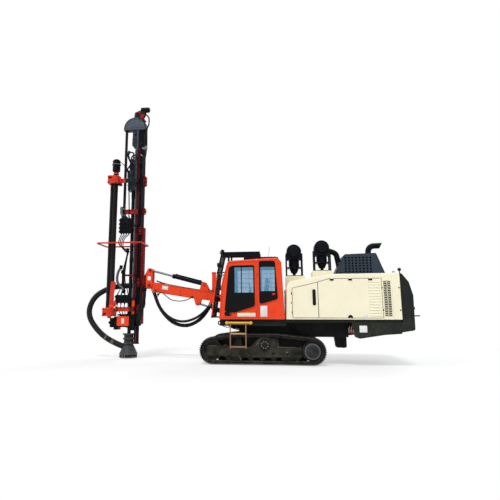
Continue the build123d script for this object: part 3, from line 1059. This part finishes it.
hammer = rod_z(PIPE_X, BOOM_Y, 62, (130, 700)) + Pos(PIPE_X, BOOM_Y, 110) * Cone(70, 62, 40)
keep("hammer", hammer + rod_z(PIPE_X, BOOM_Y, 70, (12, 91)))

# Mast top: pulley box with its cap, half-round sheave guard on a band, and the motor on its bracket.
CAP_Z = (BEAM_Z[1], BEAM_Z[1] + 25)
band_z = (CAP_Z[1], CAP_Z[1] + SHEAVE_BAND - 15)
pulley_box = side_face(rounded([
    (-3580, BEAM_Z[1], 0), (BEAM_X[0], BEAM_Z[1], 0), (BEAM_X[0], 6930, 0), (-3520, 6930, 0), (-3580, 7010, 0)]),
    about(BOOM_Y, 120))
for z in spaced((7040, 7240), 5):
    pulley_box += box((-3592, BEAM_X[0]), about(BOOM_Y, 128), about(z, 12))
pulley_box -= box(about(-3470, 32), about(BOOM_Y, 130), about(7400, 32))
pulley_box += box((-3600, -3180), about(BOOM_Y, BEAM_HALF), CAP_Z)
keep("mast_top", pulley_box)
sheave_y = about(BOOM_Y, 105)
rim_radius = SHEAVE_RADIUS + 10
sheave = rod_y(SHEAVE_X, band_z[1], SHEAVE_RADIUS, sheave_y)
sheave += rod_y(SHEAVE_X, band_z[1], rim_radius, wide(sheave_y, 13)) - rod_y(
    SHEAVE_X, band_z[1], SHEAVE_RADIUS - 26, wide(sheave_y, 14))
sheave &= box((-4000, -3000), (0, 400), (band_z[1], 8100))
sheave += box(about(SHEAVE_X, rim_radius), wide(sheave_y, 15), band_z)
keep("sheave_guard", sheave)
motor_plate = rounded([
    (-3580, 7990, 0), (-3545, 8235, 30), (-3350, 8310, 30), (-3180, 8250, 30), (-3200, 8120, 30), (-3330, 7930, 0)])
motor = Part()
for side in (-1, 1):
    motor += side_face(motor_plate, sorted((BOOM_Y + side * 50, BOOM_Y + side * 70)))
motor += box((-3520, -3345), about(BOOM_Y, 51), (8040, 8215))
motor += rod_x(BOOM_Y, 8330, 90, (-3330, -3070)) + rod_x(BOOM_Y, 8330, 70, (-3071, -3040))
motor += box((-3330, -3190), about(BOOM_Y, 51), (8160, 8300))
motor -= rod_y(SHEAVE_X, band_z[1], rim_radius, wide(sheave_y, 20))
keep("top_motor", motor)

# Clamp table round the drill string, its cover, and the dust hood with its flared skirt.
pipe_hole = rod_z(PIPE_X, BOOM_Y, TABLE_BORE, (800, 1600))
table = Part()
for plate_z in ((TABLE_Z[1] - TABLE_PLATE, TABLE_Z[1]), (TABLE_Z[0], TABLE_Z[0] + TABLE_PLATE)):
    table += box(TABLE_X, about(BOOM_Y, TABLE_HALF), plate_z)
for side in (-1, 1):
    cheek = sorted((BOOM_Y + side * (TABLE_HALF - 50), BOOM_Y + side * TABLE_HALF))
    table += box((TABLE_X[0] + 60, TABLE_X[1] - 40), cheek, (TABLE_Z[0] + 1, TABLE_Z[1] - 1))
JAWS_X = (-4150.0, -4000.0)
table += box((JAWS_X[1] - 1, TABLE_X[0] + 1), about(BOOM_Y, 130), (880, 1290))
jaws = box(JAWS_X, about(BOOM_Y, 95), (950, 1250))
table += fillet(jaws.edges().filter_by(Axis.Y), 40)
table += box((-3470, TABLE_X[1]), about(BOOM_Y, TABLE_HALF - 10), (860, TABLE_Z[0] + 1))
table -= pipe_hole + foot_tube
table -= box((BEAM_X[0], TABLE_X[1] + 1), about(BOOM_Y, BEAM_HALF), BEAM_Z)
keep("clamp_table", table)
cover_y = (BOOM_Y - TABLE_HALF - 50, BOOM_Y - TABLE_HALF)
cover = side_face(rounded([
    (TABLE_X[0], 1000, 40), (TABLE_X[0], 1300, 40), (-3470, 1300, 40), (-3470, 1000, 40)]), cover_y)
keep("clamp_cover", cover)
tube_radius = SKIRT_RADII[1]
skirt_height = SKIRT_Z[1] - SKIRT_Z[0]
dust = rod_z(PIPE_X, BOOM_Y, tube_radius, (SKIRT_Z[1], HOOD_TUBE_TOP_Z))
for low in (445, 590, HOOD_TUBE_TOP_Z - 25):
    dust += rod_z(PIPE_X, BOOM_Y, tube_radius + 38, (low, low + 25))
dust += Pos(PIPE_X, BOOM_Y, sum(SKIRT_Z) / 2) * Cone(SKIRT_RADII[0], SKIRT_RADII[1], skirt_height)
dust_body = dust
dust -= rod_z(PIPE_X, BOOM_Y, tube_radius - DUST_WALL, (SKIRT_Z[1] - 1, HOOD_TUBE_TOP_Z + 1))
dust -= Pos(PIPE_X, BOOM_Y, sum(SKIRT_Z) / 2) * Cone(
    SKIRT_RADII[0] - DUST_WALL, SKIRT_RADII[1] - DUST_WALL, skirt_height + 0.2)
dust -= foot_tube
keep("dust_hood", dust)

# Pipe magazine: a carousel of spare pipes between two end blocks, turned by a motor on top.
carousel_y = MAGAZINE_Y
disc = MAGAZINE_CIRCLE + MAGAZINE_PIPE_RADIUS + 7
pipe_low = MAGAZINE_FOOT_Z[1] + SLIDE_GAP
pipe_high = MAGAZINE_HEAD_Z[0] - SLIDE_GAP
carousel = rod_z(MAGAZINE_X, MAGAZINE_Y, MAGAZINE_SHAFT, (MAGAZINE_FOOT_Z[1] - 60, MAGAZINE_HEAD_Z[0] + 60))
for span in ((pipe_low, pipe_low + 25), (pipe_high - 25, pipe_high), about(3600, 12)):
    carousel += rod_z(MAGAZINE_X, MAGAZINE_Y, disc, span)
for index in range(MAGAZINE_PIPES):
    angle = radians(30) + 2 * pi * index / MAGAZINE_PIPES
    carousel += rod_z(MAGAZINE_X + MAGAZINE_CIRCLE * cos(angle), MAGAZINE_Y + MAGAZINE_CIRCLE * sin(angle),
                      MAGAZINE_PIPE_RADIUS, (pipe_low + 1, pipe_high - 1))
keep("carousel", carousel)
magazine = Part()
for span in (MAGAZINE_FOOT_Z, MAGAZINE_HEAD_Z):
    block = box(about(MAGAZINE_X, 188), about(MAGAZINE_Y, 188), span)
    magazine += fillet(block.edges().filter_by(Axis.Z), 70)
magazine += rod_z(MAGAZINE_X, MAGAZINE_Y, 60, (MAGAZINE_FOOT_Z[0] - 60, MAGAZINE_FOOT_Z[0] + 1))
shaft_hole = MAGAZINE_SHAFT + RUN_GAP
magazine -= rod_z(MAGAZINE_X, MAGAZINE_Y, shaft_hole, (MAGAZINE_FOOT_Z[1] - 70, MAGAZINE_FOOT_Z[1] + 1))
magazine -= rod_z(MAGAZINE_X, MAGAZINE_Y, shaft_hole, (MAGAZINE_HEAD_Z[0] - 1, MAGAZINE_HEAD_Z[0] + 70))
arm_y = (MAGAZINE_Y - 10, MAGAZINE_Y + 30)
beam_side = BOOM_Y - BEAM_HALF
for span in ((1450, 1590), (5660, 5800)):
    magazine += box((MAGAZINE_X + 180, side_x[1]), arm_y, span)
    magazine += box(side_x, (arm_y[0], beam_side), span)
stop_plate = rounded([
    (-4060, MAGAZINE_FOOT_Z[1] - 1, 0), (-4020, 2390, 30), (-3855, 2390, 70), (-3905, 2030, 60), (-3950, 1790, 60),
    (-3815, 1740, 40), (-3815, 1650, 40), (-3920, MAGAZINE_FOOT_Z[1] - 1, 0)])
magazine += side_face(stop_plate, (MAGAZINE_Y - disc - 32, MAGAZINE_Y - disc - 7))
hoop_line = FilletPolyline(
    (side_x[0] + 2, HOOP_Y[0], HOOP_Z), (HOOP_X[0], HOOP_Y[0], HOOP_Z), (HOOP_X[0], HOOP_Y[1], HOOP_Z),
    (HOOP_X[1], HOOP_Y[1], HOOP_Z), (HOOP_X[1], HOOP_Y[0], HOOP_Z), (side_x[1] - 2, HOOP_Y[0], HOOP_Z), radius=110)
hoop = sweep(Plane(origin=hoop_line @ 0, z_dir=hoop_line % 0) * Circle(HOOP_TUBE), hoop_line)
hoop += box(side_x, about(HOOP_Y[0], 24), about(HOOP_Z, 21))
for low, high in ((HOOP_Y[0], beam_side), (BOOM_Y + BEAM_HALF, HOOP_Y[1])):
    hoop += box(side_x, (low, high), about(HOOP_Z, HOOP_TUBE - 4))
magazine += hoop
keep("magazine_frame", magazine)
MOTOR_X = MAGAZINE_X + 50
magazine_motor = rod_z(MOTOR_X, MAGAZINE_Y, 80, (MAGAZINE_HEAD_Z[1], 6061)) + rod_z(MOTOR_X, MAGAZINE_Y, 125, (6060, 6430))
magazine_motor += rod_z(MOTOR_X, MAGAZINE_Y, 138, about(6290, 20)) + rod_z(MOTOR_X, MAGAZINE_Y, 90, (6429, 6460))
keep("magazine_motor", magazine_motor)

# Hoses down the mast's front, from the sheave guard's band to a clamp arm, with two valve blocks.
hose_y = spaced(about(BOOM_Y, MAST_HOSE_PITCH), 3)
hoses = Part() + [rod_z(MAST_HOSE_X, y, MAST_HOSE_RADIUS, (4640, band_z[0])) for y in hose_y]
keep("mast_hoses", hoses)
arm_plate_y = (-32, -12)
arm = box((MAST_HOSE_X - 40, side_x[1]), arm_plate_y, (4600, 4760))
arm += box(side_x, (arm_plate_y[0], beam_side), (4600, 4760))
arm += box(about(MAST_HOSE_X, 40), (arm_plate_y[0], BOOM_Y + 100), (4600, 4700))
# columns: front x, rear x, low z, high z, bracket z
VALVES = ((-3850.0, -3480.0, 3950.0, 4450.0, 4180.0), (-3900.0, -3430.0, 1710.0, 1970.0, 1810.0))
for front, rear, low, high, bracket_z in VALVES:
    block = box((front, rear), (-150, -55), (low, high))
    arm += fillet(block.edges().filter_by(Axis.Y), 22)
    arm += box((front + 60, side_x[1]), (-56, -36), (bracket_z, bracket_z + 80))
    arm += box(side_x, (-56, beam_side), (bracket_z, bracket_z + 80))
    for x in spaced((front + 60, rear - 60), 4):
        arm += rod_z(x, -105, 24, (low - 32, low + 1))
        arm += rod_z(x, -105, 20, (high - 1, high + 38))
arm -= hoses
keep("hose_arm", arm)


def tube(points, radius, share=0.45):
    """Round hose of straight runs and tangent arcs, each arc as large as its runs allow."""
    vectors = [Vector(*point) for point in points]
    radii = []
    for before, here, after in zip(vectors, vectors[1:], vectors[2:]):
        turn = (here - before).get_angle(after - here)
        shorter = min((here - before).length, (after - here).length)
        radii.append(share * shorter / tan(radians(turn) / 2))
    print("bend radii", [round(value) for value in radii])
    line = FilletPolyline(*points, radius=radii)
    solid = sweep(Plane(origin=points[0], z_dir=vectors[1] - vectors[0]) * Circle(radius), line)
    print("volume against length", round(solid.volume / (pi * radius**2 * line.length), 4))
    return solid


# Suction hose: from the dust hood out round the magazine and back to a bracket on the beam's right.
DUST_ROUTE = [(-3655, 265, 330), (-4080, 265, 470), (-4560, 220, 800), (-4920, 130, 1340), (-4760, 150, 1900),
              (-4330, 300, 2200), (-3860, 520, 2300), (-3320, 540, 2300)]
dust_hose = tube(DUST_ROUTE, DUST_HOSE_RADIUS) - dust_body
keep("dust_hose", dust_hose)
beam += box(side_x, (BOOM_Y + BEAM_HALF - 1, DUST_ROUTE[-1][1] - 60), (2150, 2450)) - dust_hose
keep("feed_beam", beam)

# Hoses that droop below the boom between two brackets on its left side.
BOOM_HOSE_START = (-2700.0, 2100.0)
BOOM_HOSE_END = (-850.0, 1690.0)
# columns: name, radius, y, droop points
BOOM_HOSES = (
    ("boom_dust_hose", 55.0, 40.0,
     [(-2610, 1780), (-2390, 1400), (-2060, 1090), (-1650, 990), (-1290, 1130), (-1010, 1400)]),
    ("boom_air_hose", 38.0, -58.0,
     [(-2620, 1850), (-2420, 1500), (-2110, 1220), (-1720, 1120), (-1330, 1230), (-1020, 1460)]))
brackets = Part()
bracket_y = (BOOM_HOSES[1][2] - BOOM_HOSES[1][1] - 8, BOOM_Y - BOOM_HALF)
for x, z in (BOOM_HOSE_START, BOOM_HOSE_END):
    brackets += box(about(x, 60), bracket_y, (z + 1, z + 40))
brackets += box(about(BOOM_HOSE_END[0], 60), (bracket_y[1] - 20, bracket_y[1]), (BOOM_HOSE_END[1] + 1, 1900))
for name, radius, y, droop in BOOM_HOSES:
    route = [(BOOM_HOSE_START[0], y, BOOM_HOSE_START[1])]
    route += [(x, y, z) for x, z in droop]
    route.append((BOOM_HOSE_END[0], y, BOOM_HOSE_END[1]))
    hose = tube(route, radius)
    brackets -= hose
    keep(name, hose)
keep("hose_brackets", brackets)

os.makedirs("parts", exist_ok=True)
for name, shape in export.items():
    export_step(shape, f"parts/{name}.step")
